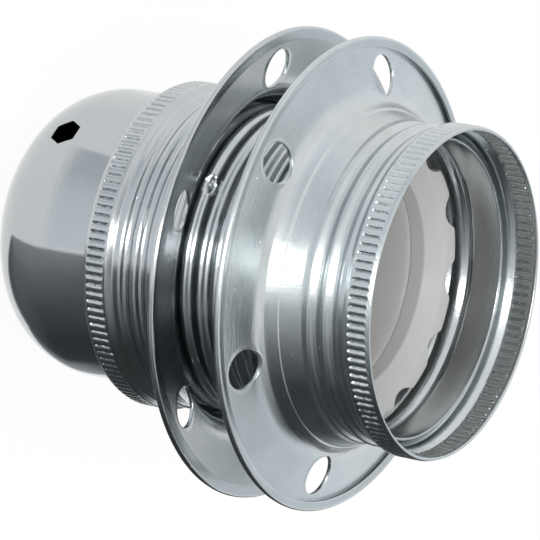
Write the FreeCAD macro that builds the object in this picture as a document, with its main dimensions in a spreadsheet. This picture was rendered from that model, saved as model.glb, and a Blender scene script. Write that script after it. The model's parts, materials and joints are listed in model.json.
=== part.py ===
"""A screw-type lamp holder: drawn-steel cap and threaded jacket round a porcelain insert,
with two identical threaded shade rings screwed on back to back.

Frame: Z up along the holder's axis, mouth upwards, origin at the centre of the entry bush's
outer face, on which the holder stands. Millimetres.
"""
import FreeCAD, Part
import math
import os

os.makedirs("parts", exist_ok=True)
doc = FreeCAD.newDocument("LampHolder")
Vector = FreeCAD.Vector
Z_AXIS = Vector(0, 0, 1)

# Driving sizes, in millimetres and degrees
SIZES = {
    # drawn steel sheet
    "ring_sheet": 0.4,
    "jacket_sheet": 0.4,
    "cap_sheet": 0.6,
    # entry bush, nut and earth tag at the foot of the cap
    "bush_head_radius": 7.0,
    "bush_stand": 0.9,
    "entry_bore_radius": 4.5,
    "bush_neck_radius": 6.0,
    "bush_neck_length": 8.6,
    "nut_flats": 13.0,
    "nut_height": 2.3,
    "tag_sheet": 0.8,
    "tag_radius": 7.2,
    "tag_width": 4.8,
    "tag_upright_reach": 7.4,
    "tag_height": 9.2,
    "tag_screw_height": 6.4,
    "grub_radius": 1.5,
    "grub_stand": 0.6,
    "grub_height": 6.4,
    # cap
    "cap_wall_inset": 0.35,
    "cap_seat_radius": 7.9,
    "cap_haunch_radius": 13.0,
    "cap_haunch_rise": 2.05,
    "cap_haunch_bend": 14.8,
    "cap_shoulder_rise": 7.2,
    "cap_shoulder_bend": 11.1,
    "cap_length": 29.1,
    "hex_hole_flats": 3.55,
    "hex_hole_rise": 10.46,
    "hex_hole_lean": 8.7,
    "hex_hole_turn": -90.0,
    # round thread rolled into jacket, cap and rings
    "thread_pitch": 2.3,
    "thread_depth": 0.6,
    "thread_flank_angle": 46.0,
    "thread_play": 0.25,
    # jacket
    "jacket_crest_radius": 19.65,
    "jacket_mouth_height": 12.1,
    "jacket_thread_turns": 12,
    "jacket_tail_length": 4.45,
    "pip_count": 3,
    "pip_height": 10.2,
    "pip_radius": 1.4,
    "pip_depth": 1.05,
    "pip_turn": -76.0,
    # shade rings
    "front_flange_height": 46.2,
    "ring_height": 16.55,
    "flange_radius": 30.0,
    "flange_top": 0.5,
    "hem_width": 1.1,
    "hem_height": 1.0,
    "flange_flat": 0.3,
    "flange_rise": 1.6,
    "throat_foot_reach": 1.9,
    "throat_bend": 3.0,
    "throat_ledge": 0.2,
    "throat_ledge_reach": 1.2,
    "throat_ledge_height": 3.9,
    "neck_start": 6.6,
    "neck_bend": 2.0,
    "ring_first_groove": 8.45,
    "ring_grooves": 2,
    "ring_pitch_count": 11,
    "rim_stand": 0.65,
    "rim_start": 13.1,
    "rim_lean": 0.25,
    "rim_edge": 0.6,
    "knurl_start": 13.3,
    "knurl_end": 15.8,
    "knurl_depth": 0.2,
    "knurl_teeth": 120,
    "hole_inner_margin": 0.6,
    "hole_outer_margin": 1.1,
    "shade_holes": 6,
    "front_ring_turn": -20.0,
    "rear_ring_turn": 1.4,
    # porcelain insert
    "insert_cap_play": 0.3,
    "insert_jacket_play": 0.35,
    "insert_flange_thickness": 5.05,
    "insert_neck_inset": 0.6,
    "insert_rim": 1.6,
    "insert_bore_inset": 0.3,
    "insert_chamfer": 0.3,
    "insert_chamfer_height": 1.3,
    "insert_floor_top": 26.2,
    "insert_floor": 4.0,
    "insert_skirt": 4.5,
    "insert_skirt_wall": 3.0,
    "rib_width": 1.6,
    # scalloped porcelain collar
    "collar_wall": 3.85,
    "collar_jacket_play": 0.7,
    "collar_top": 6.3,
    "collar_land_share": 0.5,
    "collar_land_drop": 0.65,
    "collar_throat_drop": 2.65,
    "collar_gap": 0.1,
    "scallops": 12,
    "scallop_radius": 2.3,
    "scallop_depth": 1.35,
    "collar_turn": 14.0,
    # screw shell for the lamp
    "shell_sheet": 0.35,
    "shell_insert_play": 0.1,
    "shell_depth": 1.15,
    "shell_pitch": 3.63,
    "shell_flank_angle": 45.0,
    "shell_turns": 3,
    "shell_first_crest": 3.6,
    "shell_collar": 1.7,
    "shell_floor_width": 5.55,
    # contacts, terminals and screws
    "screw_radius": 1.5,
    "screw_play": 0.05,
    "head_radius": 2.6,
    "head_height": 1.7,
    "slot_width": 0.7,
    "slot_depth": 0.8,
    "block_height": 4.1,
    "shell_screw_inset": 4.65,
    "shell_screw_ratio": 0.62,
    "neutral_width": 6.0,
    "neutral_end_margin": 2.4,
    "wire_screw_inset": 3.3,
    "line_screw_spacing": 3.0,
    "line_width": 7.2,
    "line_end_margin": 2.0,
    "wire_hole_radius": 1.4,
    "contact_sheet": 0.4,
    "contact_width": 5.0,
    "contact_rise": 4.2,
    "contact_bend": 2.0,
    # running and seating clearances
    "seat_play": 0.1,
    "insert_hole_play": 0.2,
    "contact_play": 1.5,
}

sheet = doc.addObject("Spreadsheet::Sheet", "Sizes")
for row, (name, number) in enumerate(SIZES.items(), start=1):
    sheet.set(f"A{row}", name)
    sheet.set(f"B{row}", str(number))
    sheet.setAlias(f"B{row}", name)
doc.recompute()


class Size:
    """A number that remembers the spreadsheet expression it came from."""

    def __init__(self, value, text):
        self.value = value
        self.text = text

    def __add__(self, other):
        other = as_size(other)
        return Size(self.value + other.value, f"({self.text} + {other.text})")

    def __sub__(self, other):
        other = as_size(other)
        return Size(self.value - other.value, f"({self.text} - {other.text})")

    def __mul__(self, other):
        other = as_size(other)
        return Size(self.value * other.value, f"({self.text} * {other.text})")

    def __truediv__(self, other):
        other = as_size(other)
        return Size(self.value / other.value, f"({self.text} / {other.text})")

    def __neg__(self):
        return Size(-self.value, f"(0 - {self.text})")


def as_size(number):
    """A plain number as a Size, so that the two can be mixed in a sum."""
    return number if isinstance(number, Size) else Size(float(number), repr(float(number)))


def cell(name):
    """The driving size of that name, read from its cell."""
    return Size(float(sheet.get(name)), f"Sizes.{name}")


def turned(angle_name, index=0, count=1):
    """The direction of the index-th of count equally spaced features, as cosine and sine Sizes."""
    angle = cell(angle_name).value + index * 360.0 / count
    text = f"({cell(angle_name).text} + {index * 360.0 / count}) * 1 deg"
    radians = math.radians(angle)
    return Size(math.cos(radians), f"cos({text})"), Size(math.sin(radians), f"sin({text})"), angle


# Levels along the axis, from the driving sizes
cap_foot = cell("bush_stand")
cap_top = cap_foot + cell("cap_length")
front_flange = cell("front_flange_height")
jacket_top = front_flange + cell("jacket_mouth_height")
last_groove = front_flange + cell("ring_first_groove")
rear_flange = last_groove + cell("ring_first_groove") - cell("ring_pitch_count") * cell("thread_pitch")
first_groove = last_groove - cell("jacket_thread_turns") * cell("thread_pitch")
jacket_foot = first_groove - cell("jacket_tail_length")
insert_shelf = cap_top + cell("insert_flange_thickness")
insert_top = front_flange + cell("insert_rim")
collar_foot = insert_top + cell("collar_gap")
collar_top = front_flange + cell("collar_top")
floor_top = cell("insert_floor_top")
floor_foot = floor_top - cell("insert_floor")
insert_foot = floor_foot - cell("insert_skirt")
jacket_root = cell("jacket_crest_radius") - cell("thread_depth")
ring_neck = cell("jacket_crest_radius") + cell("thread_play") + cell("ring_sheet")
ring_root = ring_neck - cell("thread_depth")

# Radii that follow the jacket, each with its own clearance or step
jacket_inside = jacket_root - cell("jacket_sheet")
cap_crest = cell("jacket_crest_radius") - cell("jacket_sheet") - cell("thread_play")
cap_radius = cap_crest - cell("cap_wall_inset")
insert_lower = cap_crest - cell("thread_depth") - cell("cap_sheet") - cell("insert_cap_play")
insert_flange = jacket_inside - cell("insert_jacket_play")
insert_upper = insert_flange - cell("insert_neck_inset")
collar_radius = jacket_inside - cell("collar_jacket_play")
collar_bore = collar_radius - cell("collar_wall")
collar_land = collar_bore + cell("collar_wall") * cell("collar_land_share")
insert_bore = collar_bore - cell("insert_bore_inset")
terminal_room = insert_lower - cell("insert_skirt_wall")
shell_crest = insert_bore - cell("shell_insert_play")
shell_root = shell_crest - cell("shell_depth")
shell_floor_hole = shell_root - cell("shell_floor_width")
shell_screw_x = shell_root - cell("shell_screw_inset")
shell_screw_y = shell_screw_x * cell("shell_screw_ratio")
wire_screw_x = terminal_room - cell("wire_screw_inset")
contact_screw_x = wire_screw_x - cell("line_screw_spacing")
neutral_length = (shell_screw_y + cell("neutral_end_margin")) * 2
throat_foot = ring_neck + cell("throat_foot_reach")
rim_radius = ring_neck + cell("rim_stand")

# The shade holes fill the plate between the throat and the hem, up to their margins
hole_inner_edge = throat_foot + cell("hole_inner_margin")
hole_outer_edge = cell("flange_radius") - cell("hem_width") - cell("hole_outer_margin")
shade_hole_radius = (hole_outer_edge - hole_inner_edge) / 2
shade_hole_circle = (hole_outer_edge + hole_inner_edge) / 2


def bind(item, **sizes):
    """Give each property its number and tie it to the cells."""
    for name, size in sizes.items():
        setattr(item, name, as_size(size).value)
        item.setExpression(name, as_size(size).text)
    return item


def put(item, x=0, y=0, z=0, axis=Z_AXIS, angle=0):
    """Place an object and tie its position to the cells."""
    place = [as_size(number) for number in (x, y, z)]
    item.Placement = FreeCAD.Placement(
        Vector(*[size.value for size in place]), FreeCAD.Rotation(axis, angle)
    )
    for letter, size in zip("xyz", place):
        item.setExpression(f"Placement.Base.{letter}", size.text)
    return item


def cylinder(name, radius, height, **place):
    item = doc.addObject("Part::Cylinder", name)
    return put(bind(item, Radius=radius, Height=height), **place)


def box(name, length, width, height, **place):
    item = doc.addObject("Part::Box", name)
    return put(bind(item, Length=length, Width=width, Height=height), **place)


def fused(name, items):
    item = doc.addObject("Part::MultiFuse", name)
    item.Shapes = items
    return item


def cut(name, base, tools):
    """The base with every tool taken out of it."""
    item = doc.addObject("Part::Cut", name)
    item.Base = base
    item.Tool = tools[0] if len(tools) == 1 else fused(f"{name}_tools", tools)
    return item


# Drawn sheet: one side is an outline of corners, the other lies a thickness to its left
def offset_corners(corners, thickness):
    """The corners of the line that runs a thickness to the left, with the bends that go with it."""
    ends = [Vector(x, z, 0) for x, z, bend in corners]
    runs = [(b - a).normalize() for a, b in zip(ends, ends[1:])]
    sides = [Vector(-run.y, run.x, 0) for run in runs]
    moved = []
    for i, (point, corner) in enumerate(zip(ends, corners)):
        before = sides[max(i - 1, 0)]
        after = sides[min(i, len(sides) - 1)]
        shift = (before + after) * (thickness / (1 + before.dot(after)))
        left_turn = 0 < i < len(runs) and runs[i - 1].cross(runs[i]).z > 0
        bend = corner[2] - thickness if left_turn else corner[2] + thickness
        moved.append((point.x + shift.x, point.y + shift.y, max(bend, 0) if corner[2] else 0))
    return moved


def bent_edges(corners):
    """Straight runs through the corners, joined by tangent arcs of each corner's bend radius."""
    ends = [Vector(x, 0, z) for x, z, bend in corners]
    runs = [b - a for a, b in zip(ends, ends[1:])]
    turns = [0.0] + [a.getAngle(b) for a, b in zip(runs, runs[1:])] + [0.0]
    reach = [corner[2] * math.tan(turn / 2) for corner, turn in zip(corners, turns)]
    spare = [run.Length / max(reach[i] + reach[i + 1], 1e-9) for i, run in enumerate(runs)]
    room = [min(1.0, 0.999 * spare[max(i - 1, 0)], 0.999 * spare[min(i, len(runs) - 1)])
            for i in range(len(ends))]
    edges = []
    here = ends[0]
    for i in range(1, len(ends) - 1):
        length = reach[i] * room[i]
        if length < 1e-4:
            edges.append(Part.makeLine(here, ends[i]))
            here = ends[i]
            continue
        before = (ends[i - 1] - ends[i]).normalize()
        after = (ends[i + 1] - ends[i]).normalize()
        start = ends[i] + before * length
        stop = ends[i] + after * length
        radius = length / math.tan(turns[i] / 2)
        bisector = (before + after).normalize()
        middle = ends[i] + bisector * (radius / math.cos(turns[i] / 2) - radius)
        edges.append(Part.makeLine(here, start))
        edges.append(Part.Arc(start, middle, stop).toShape())
        here = stop
    edges.append(Part.makeLine(here, ends[-1]))
    return edges


def sheet_face(corners, thickness):
    """The cut section of a bent sheet."""
    near = Part.Wire(bent_edges(corners))
    far = Part.Wire(bent_edges(offset_corners(corners, thickness)))
    near_ends = [Vector(corners[i][0], 0, corners[i][1]) for i in (0, -1)]
    other = offset_corners(corners, thickness)
    far_ends = [Vector(other[i][0], 0, other[i][1]) for i in (0, -1)]
    closing = [Part.makeLine(near_ends[1], far_ends[1]), Part.makeLine(far_ends[0], near_ends[0])]
    return Part.Face(Part.Wire(Part.__sortEdges__(near.Edges + far.Edges + closing)))


def spun_sheet(name, corners, thickness):
    """A drawn sheet turned about the axis."""
    item = doc.addObject("Part::Feature", name)
    item.Shape = sheet_face(corners, thickness.value).revolve(Vector(0, 0, 0), Z_AXIS, 360)
    return item


class Wave:
    """A rolled round thread: flanks at a set slope with one bend radius for crests and roots."""

    def __init__(self, pitch, depth, flank, crest):
        slope = math.tan(math.radians(flank))
        self.over = (pitch / 2 * slope - depth) / 2
        self.bend = self.over / (1 / math.cos(math.radians(flank)) - 1)
        self.run = (depth + self.over) / slope
        self.slope = slope
        self.crest = crest
        self.root = crest - depth

    def top(self, height):
        return (self.crest + self.over, height, self.bend)

    def bottom(self, height):
        return (self.root - self.over, height, self.bend)


def rolled(crest):
    """The round thread of jacket, cap and rings, with its crests at the given radius."""
    return Wave(cell("thread_pitch").value, cell("thread_depth").value, cell("thread_flank_angle").value, crest)


# Outlines that a sketch holds, with every corner tied to the cells
def origin_plane(body, role):
    return [part for part in body.Origin.OriginFeatures if part.Role == role][0]


def sketch_on(body, name, role, offset=None):
    item = body.newObject("Sketcher::SketchObject", name)
    item.AttachmentSupport = [(origin_plane(body, role), "")]
    item.MapMode = "FlatFace"
    if offset is not None:
        item.AttachmentOffset = FreeCAD.Placement(Vector(0, 0, offset.value), FreeCAD.Rotation())
        item.setExpression("AttachmentOffset.Base.z", offset.text)
    return item


def tie_point(item, geometry, end, x, y):
    """Hold one point of a sketch at x, y from the sketch's origin."""
    import Sketcher
    for kind, size, axis in (("DistanceX", x, -2), ("DistanceY", y, -1)):
        size = as_size(size)
        if abs(size.value) < 1e-9:
            item.addConstraint(Sketcher.Constraint("PointOnObject", geometry, end, axis))
            continue
        index = item.addConstraint(Sketcher.Constraint(kind, -1, 1, geometry, end, size.value))
        item.setExpression(f"Constraints[{index}]", size.text)


def draw_outline(item, corners):
    """A closed outline of straight lines through corners that are tied to the cells."""
    import Sketcher
    points = [Vector(as_size(x).value, as_size(y).value, 0) for x, y in corners]
    count = len(points)
    for i in range(count):
        item.addGeometry(Part.LineSegment(points[i], points[(i + 1) % count]), False)
    for i in range(count):
        item.addConstraint(Sketcher.Constraint("Coincident", i, 2, (i + 1) % count, 1))
    for i, (x, y) in enumerate(corners):
        tie_point(item, i, 1, x, y)


def draw_circle(item, x, y, radius):
    import Sketcher
    centre = Vector(as_size(x).value, as_size(y).value, 0)
    index = item.addGeometry(Part.Circle(centre, Z_AXIS, as_size(radius).value), False)
    tie_point(item, index, 3, x, y)
    constraint = item.addConstraint(Sketcher.Constraint("Radius", index, as_size(radius).value))
    item.setExpression(f"Constraints[{constraint}]", as_size(radius).text)


def turned_body(name, corners):
    """A body turned about the axis from an outline of radius and height."""
    body = doc.addObject("PartDesign::Body", name)
    outline = sketch_on(body, f"{name}_outline", "XZ_Plane")
    draw_outline(outline, corners)
    spin = body.newObject("PartDesign::Revolution", f"{name}_turn")
    spin.Profile = outline
    spin.ReferenceAxis = (outline, ["V_Axis"])
    spin.Angle = 360.0
    doc.recompute()
    return body


def pocket(body, name, outline, reversed_way, depth=None):
    """Cut an outline into the body, to a depth or right through."""
    item = body.newObject("PartDesign::Pocket", name)
    item.Profile = outline
    item.Reversed = reversed_way
    if depth is None:
        item.Type = 1
    else:
        bind(item, Length=depth)
    doc.recompute()
    return item


# Shade rings
def ring_corners():
    """The neck side of a shade ring, from its flange edge to its rim, in ring heights."""
    flange = cell("flange_radius").value
    flat_end = flange - cell("hem_width").value - cell("flange_flat").value
    top = cell("flange_top").value
    step = cell("throat_ledge").value
    step_radius = (ring_neck + cell("throat_ledge_reach")).value
    step_height = cell("throat_ledge_height").value
    thread = rolled(ring_neck.value)
    groove = cell("ring_first_groove").value
    pitch = cell("thread_pitch").value
    neck = ring_neck.value
    rim = rim_radius.value
    rim_start = cell("rim_start").value
    height = cell("ring_height").value
    corners = [
        (flange - cell("hem_width").value / 2, top, 0),
        (flat_end, top, top),
        (throat_foot.value, top + cell("flange_rise").value, cell("throat_bend").value),
        (step_radius, step_height, step),
        (step_radius - step, step_height + step / 4, step),
        (neck, cell("neck_start").value, cell("neck_bend").value),
        (neck, groove - thread.run, thread.bend),
    ]
    for i in range(int(cell("ring_grooves").value)):
        if i:
            corners.append(thread.top(groove + (i - 0.5) * pitch))
        corners.append(thread.bottom(groove + i * pitch))
    last = groove + (cell("ring_grooves").value - 1) * pitch
    shoulder = (rim - neck) / thread.slope
    corners += [
        (neck, last + thread.run, thread.bend),
        (neck, rim_start - shoulder, top),
        (rim, rim_start, top / 2),
        (rim, height - cell("rim_edge").value, top),
        (rim - cell("rim_lean").value, height, 0),
    ]
    return corners


def hem_face():
    """The section of the flange's folded edge: a double sheet with a round outside."""
    outer = cell("flange_radius").value
    inner = outer - cell("hem_width").value
    high = cell("hem_height").value
    round_centre = outer - high / 2
    edges = [
        Part.makeLine(Vector(inner, 0, 0), Vector(round_centre, 0, 0)),
        Part.Arc(Vector(round_centre, 0, 0), Vector(outer, 0, high / 2), Vector(round_centre, 0, high)).toShape(),
        Part.makeLine(Vector(round_centre, 0, high), Vector(inner, 0, high)),
        Part.makeLine(Vector(inner, 0, high), Vector(inner, 0, 0)),
    ]
    return Part.Face(Part.Wire(edges))


def knurl_cutter():
    """Straight V grooves round the rim: the space between a toothed star and a wider circle."""
    teeth = int(cell("knurl_teeth").value)
    tooth_angle = 2 * math.pi / teeth
    root = rim_radius.value - cell("knurl_depth").value
    tip = rim_radius.value + cell("knurl_depth").value
    low = cell("knurl_start").value
    points = []
    for i in range(teeth):
        for radius, part in ((root, 0.0), (tip, 0.5)):
            angle = (i + part) * tooth_angle
            points.append(Vector(radius * math.cos(angle), radius * math.sin(angle), low))
    star = Part.Face(Part.makePolygon(points + points[:1]))
    around = Part.Face(Part.Wire(Part.makeCircle(tip + cell("knurl_depth").value, Vector(0, 0, low))))
    return around.cut(star).extrude(Vector(0, 0, cell("knurl_end").value - low))


def shade_ring(label, turn_name):
    """A shade ring in its own heights: flange edge at zero, rim upwards."""
    wall = spun_sheet(f"{label}_wall", ring_corners(), cell("ring_sheet"))
    hem = doc.addObject("Part::Feature", f"{label}_hem")
    hem.Shape = hem_face().revolve(Vector(0, 0, 0), Z_AXIS, 360)
    knurl = doc.addObject("Part::Feature", f"{label}_knurl")
    knurl.Shape = knurl_cutter()
    tools = [knurl]
    count = int(cell("shade_holes").value)
    for i in range(count):
        cosine, sine, angle = turned(turn_name, i, count)
        tools.append(cylinder(
            f"{label}_hole_{i + 1}", shade_hole_radius, cell("neck_start"),
            x=shade_hole_circle * cosine, y=shade_hole_circle * sine, z=-cell("ring_sheet"),
        ))
    return cut(label, fused(f"{label}_blank", [wall, hem]), tools)


front_ring = shade_ring("front_shade_ring", "front_ring_turn")
put(front_ring, z=front_flange)
rear_ring = shade_ring("rear_shade_ring", "rear_ring_turn")
put(rear_ring, z=rear_flange, axis=Vector(1, 0, 0), angle=180)


# Jacket
def jacket_corners():
    """The outside of the jacket, from its foot to its mouth."""
    thread = rolled(cell("jacket_crest_radius").value)
    pitch = cell("thread_pitch").value
    turns = int(cell("jacket_thread_turns").value)
    start = first_groove.value
    corners = [(thread.crest, jacket_foot.value, 0), (thread.crest, start - thread.run, thread.bend)]
    for i in range(turns):
        corners.append(thread.bottom(start + i * pitch))
        corners.append(thread.top(start + (i + 0.5) * pitch))
    end = start + (turns - 0.5) * pitch
    corners += [(thread.root, end + thread.run, thread.bend), (thread.root, jacket_top.value, 0)]
    return corners


def make_jacket():
    """The threaded jacket, with pips pressed in over the insert's flange."""
    wall = spun_sheet("jacket_wall", jacket_corners(), cell("jacket_sheet"))
    centre = jacket_root - cell("pip_depth") / 2 + cell("pip_radius")
    height = front_flange - cell("pip_height")
    count = int(cell("pip_count").value)
    bumps = []
    dents = []
    for i in range(count):
        cosine, sine, angle = turned("pip_turn", i, count)
        place = dict(x=centre * cosine, y=centre * sine, z=height)
        bump = doc.addObject("Part::Sphere", f"pip_bump_{i + 1}")
        bumps.append(put(bind(bump, Radius=cell("pip_radius") + cell("jacket_sheet")), **place))
        dent = doc.addObject("Part::Sphere", f"pip_dent_{i + 1}")
        dents.append(put(bind(dent, Radius=cell("pip_radius")), **place))
    inside = cylinder("pip_limit", jacket_root - cell("jacket_sheet") / 4, jacket_top)
    inner_bumps = doc.addObject("Part::Common", "pip_bumps")
    inner_bumps.Base = fused("pip_balls", bumps)
    inner_bumps.Tool = inside
    return cut("jacket", fused("jacket_blank", [wall, inner_bumps]), dents)


jacket = make_jacket()


# Cap
def cap_corners():
    """The outside of the cap, from the edge of its entry hole to the end of its threaded skirt."""
    thread = rolled(cap_crest.value)
    plain = cap_radius.value
    pitch = cell("thread_pitch").value
    low_crest = first_groove.value - pitch / 2
    reach = (thread.crest + thread.over - plain) / thread.slope
    bend = cell("cap_sheet").value
    return [
        ((cell("bush_neck_radius") + cell("seat_play")).value, cap_foot.value, 0),
        (cell("cap_seat_radius").value, cap_foot.value, bend),
        (cell("cap_haunch_radius").value, (cap_foot + cell("cap_haunch_rise")).value,
         cell("cap_haunch_bend").value),
        (plain, (cap_foot + cell("cap_shoulder_rise")).value, cell("cap_shoulder_bend").value),
        (plain, low_crest - reach, bend),
        thread.top(low_crest),
        thread.bottom(low_crest + pitch / 2),
        thread.top(low_crest + pitch),
        (thread.root, low_crest + pitch + thread.run, thread.bend),
        (thread.root, cap_top.value, 0),
    ]


def make_cap():
    """The domed cap, with a small hexagonal hole punched square to its shoulder."""
    wall = spun_sheet("cap_wall", cap_corners(), cell("cap_sheet"))
    punch = doc.addObject("Part::Prism", "hex_punch")
    punch.Polygon = 6
    length = cell("hex_hole_flats") * 2
    bind(punch, Circumradius=cell("hex_hole_flats") / math.sqrt(3), Height=length)
    turn = FreeCAD.Rotation(Z_AXIS, cell("hex_hole_turn").value)
    lean = FreeCAD.Rotation(Vector(0, 1, 0), 90 + cell("hex_hole_lean").value)
    corners_around = FreeCAD.Rotation(Z_AXIS, 90)
    middle = turn.multVec(Vector(cap_radius.value, 0, 0))
    middle.z += (cap_foot + cell("hex_hole_rise")).value
    start = middle - (turn * lean).multVec(Vector(0, 0, length.value / 2))
    punch.Placement = FreeCAD.Placement(start, turn * lean * corners_around)
    return cut("cap", wall, [punch])


cap = make_cap()


# Entry bush, nut, earth tag and grub screw
def make_entry_bush():
    """A bush put in from outside: a thin head under the cap and a barrel threaded for the tube."""
    bore = cell("entry_bore_radius")
    neck = cell("bush_neck_radius")
    top = cap_foot + cell("bush_neck_length")
    body = turned_body("entry_bush", [
        (bore, 0), (cell("bush_head_radius"), 0), (cell("bush_head_radius"), cap_foot),
        (neck, cap_foot), (neck, top), (bore, top),
    ])
    outline = sketch_on(body, "grub_thread_outline", "XZ_Plane")
    draw_circle(outline, 0, cap_foot + cell("grub_height"), cell("grub_radius") + cell("screw_play"))
    pocket(body, "grub_thread", outline, True)
    return body


entry_bush = make_entry_bush()


def make_grub_screw():
    """A set screw in the barrel, in line with the cap's hexagonal hole, with a driving slot."""
    start = cell("entry_bore_radius")
    length = cell("bush_neck_radius") - start + cell("grub_stand")
    height = cap_foot + cell("grub_height")
    core = cylinder("grub_core", cell("grub_radius"), length,
                    y=-start, z=height, axis=Vector(1, 0, 0), angle=90)
    slot = box("grub_slot", cell("slot_width"), cell("slot_depth") * 2, cell("grub_radius") * 4,
               x=-cell("slot_width") / 2, y=-start - length - cell("slot_depth"),
               z=height - cell("grub_radius") * 2)
    return cut("grub_screw", core, [slot])


grub_screw = make_grub_screw()
tag_foot = cap_foot + cell("cap_sheet")


def make_bush_nut():
    """The hexagon nut that pulls the bush and the earth tag against the cap."""
    height = tag_foot + cell("tag_sheet")
    blank = doc.addObject("Part::Prism", "nut_blank")
    blank.Polygon = 6
    put(bind(blank, Circumradius=cell("nut_flats") / math.sqrt(3), Height=cell("nut_height")), z=height)
    bore = cylinder("nut_bore", cell("bush_neck_radius") + cell("screw_play"), cell("nut_height") * 3,
                    z=height - cell("nut_height"))
    return cut("bush_nut", blank, [bore])


bush_nut = make_bush_nut()


def make_earth_tag():
    """A washer under the nut, with one edge bent up to carry the earth screw."""
    width = cell("tag_width")
    reach = cell("tag_upright_reach")
    washer = cylinder("tag_washer", cell("tag_radius"), cell("tag_sheet"), z=tag_foot)
    arm = box("tag_arm", width, reach, cell("tag_sheet"), x=-width / 2, z=tag_foot)
    upright = box("tag_upright", width, cell("tag_sheet"), cell("tag_height"),
                  x=-width / 2, y=reach - cell("tag_sheet"), z=tag_foot)
    bore = cylinder("tag_bore", cell("bush_neck_radius") + cell("seat_play"), cell("tag_height"),
                    z=cap_foot)
    screw_hole = cylinder("tag_screw_hole", cell("screw_radius") + cell("screw_play"), reach,
                          y=reach * 1.5, z=tag_foot + cell("tag_screw_height"),
                          axis=Vector(1, 0, 0), angle=90)
    return cut("earth_tag", fused("tag_blank", [washer, arm, upright]), [bore, screw_hole])


earth_tag = make_earth_tag()


# Porcelain insert and collar
def make_insert():
    """The porcelain cup that carries the shell above its floor and the terminals below it."""
    bore = insert_bore
    chamfer = bore + cell("insert_chamfer")
    room = terminal_room
    body = turned_body("porcelain_insert", [
        (0, floor_foot), (room, floor_foot), (room, insert_foot), (insert_lower, insert_foot),
        (insert_lower, cap_top), (insert_flange, cap_top), (insert_flange, insert_shelf),
        (insert_upper, insert_shelf), (insert_upper, insert_top), (chamfer, insert_top),
        (bore, insert_top - cell("insert_chamfer_height")), (bore, floor_top), (0, floor_top),
    ])
    rib = sketch_on(body, "rib_outline", "XY_Plane", insert_foot)
    half = cell("rib_width") / 2
    end = room + half
    draw_outline(rib, [(-half, -end), (half, -end), (half, end), (-half, end)])
    pad = body.newObject("PartDesign::Pad", "terminal_rib")
    pad.Profile = rib
    bind(pad, Length=cell("insert_skirt"))
    doc.recompute()
    holes = sketch_on(body, "floor_hole_outlines", "XY_Plane", floor_foot)
    radius = cell("screw_radius") + cell("insert_hole_play")
    draw_circle(holes, shell_screw_x, shell_screw_y, radius)
    draw_circle(holes, shell_screw_x, -shell_screw_y, radius)
    draw_circle(holes, -contact_screw_x, 0, radius)
    pocket(body, "floor_holes", holes, True, cell("insert_floor"))
    return body


porcelain_insert = make_insert()


def make_collar():
    """The scalloped porcelain ring that screws into the jacket above the insert."""
    outer = collar_radius
    bore = collar_bore
    thread_radius = cell("jacket_crest_radius") - cell("jacket_sheet") - cell("thread_play") - cell("seat_play") / 2
    groove = last_groove - cell("thread_pitch") * 2.5
    half = cell("thread_pitch") / 4
    body = turned_body("porcelain_collar", [
        (bore, collar_foot), (outer, collar_foot), (outer, groove - half * 1.6),
        (thread_radius, groove - half * 0.6), (thread_radius, groove + half * 0.6),
        (outer, groove + half * 1.6), (outer, collar_top - cell("seat_play") * 4),
        (outer - cell("seat_play") * 4, collar_top),
        (collar_land, collar_top - cell("collar_land_drop")),
        (bore, collar_top - cell("collar_throat_drop")),
    ])
    notch = sketch_on(body, "scallop_outline", "XY_Plane", collar_foot)
    radius = cell("scallop_radius")
    draw_circle(notch, outer - cell("scallop_depth") + radius, 0, radius)
    first = pocket(body, "scallop", notch, True)
    pattern = body.newObject("PartDesign::PolarPattern", "scallops")
    pattern.Originals = [first]
    pattern.Axis = (notch, ["N_Axis"])
    pattern.Angle = 360
    pattern.Occurrences = int(cell("scallops").value)
    pattern.setExpression("Occurrences", cell("scallops").text)
    body.Tip = pattern
    doc.recompute()
    body.Placement = FreeCAD.Placement(Vector(0, 0, 0), FreeCAD.Rotation(Z_AXIS, cell("collar_turn").value))
    body.setExpression("Placement.Rotation.Angle", f"{cell('collar_turn').text} * 1 deg")
    return body


porcelain_collar = make_collar()


# Lamp shell
def shell_corners():
    """The outside of the screw shell, from the edge of its floor hole to its top."""
    thread = Wave(cell("shell_pitch").value, cell("shell_depth").value, cell("shell_flank_angle").value,
                  shell_crest.value)
    pitch = cell("shell_pitch").value
    low = floor_top.value + cell("shell_first_crest").value
    turns = int(cell("shell_turns").value)
    corners = [
        (shell_floor_hole.value, floor_top.value, 0),
        (thread.root, floor_top.value, 2 * cell("shell_sheet").value),
        (thread.root, low - thread.run, thread.bend),
    ]
    for i in range(turns):
        corners.append(thread.top(low + i * pitch))
        corners.append(thread.bottom(low + (i + 0.5) * pitch))
    end = low + (turns - 0.5) * pitch + thread.run
    corners += [(thread.crest, end, thread.bend), (thread.crest, end + cell("shell_collar").value, 0)]
    return corners


def make_shell():
    wall = spun_sheet("shell_wall", shell_corners(), cell("shell_sheet"))
    tools = []
    for i, side in enumerate((1, -1)):
        tools.append(cylinder(f"shell_hole_{i + 1}", cell("screw_radius") + cell("insert_hole_play"),
                              cell("insert_floor"), x=shell_screw_x,
                              y=shell_screw_y * side, z=floor_foot + cell("insert_floor") / 2))
    width = cell("contact_width") + cell("contact_play") * 2
    reach = contact_screw_x + cell("head_radius") + cell("contact_play") / 2
    tools.append(box("contact_way", reach - shell_floor_hole / 2, width, cell("head_height") * 2,
                     x=-reach, y=-width / 2, z=floor_top - cell("head_height")))
    return cut("screw_shell", wall, tools)


screw_shell = make_shell()


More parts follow.
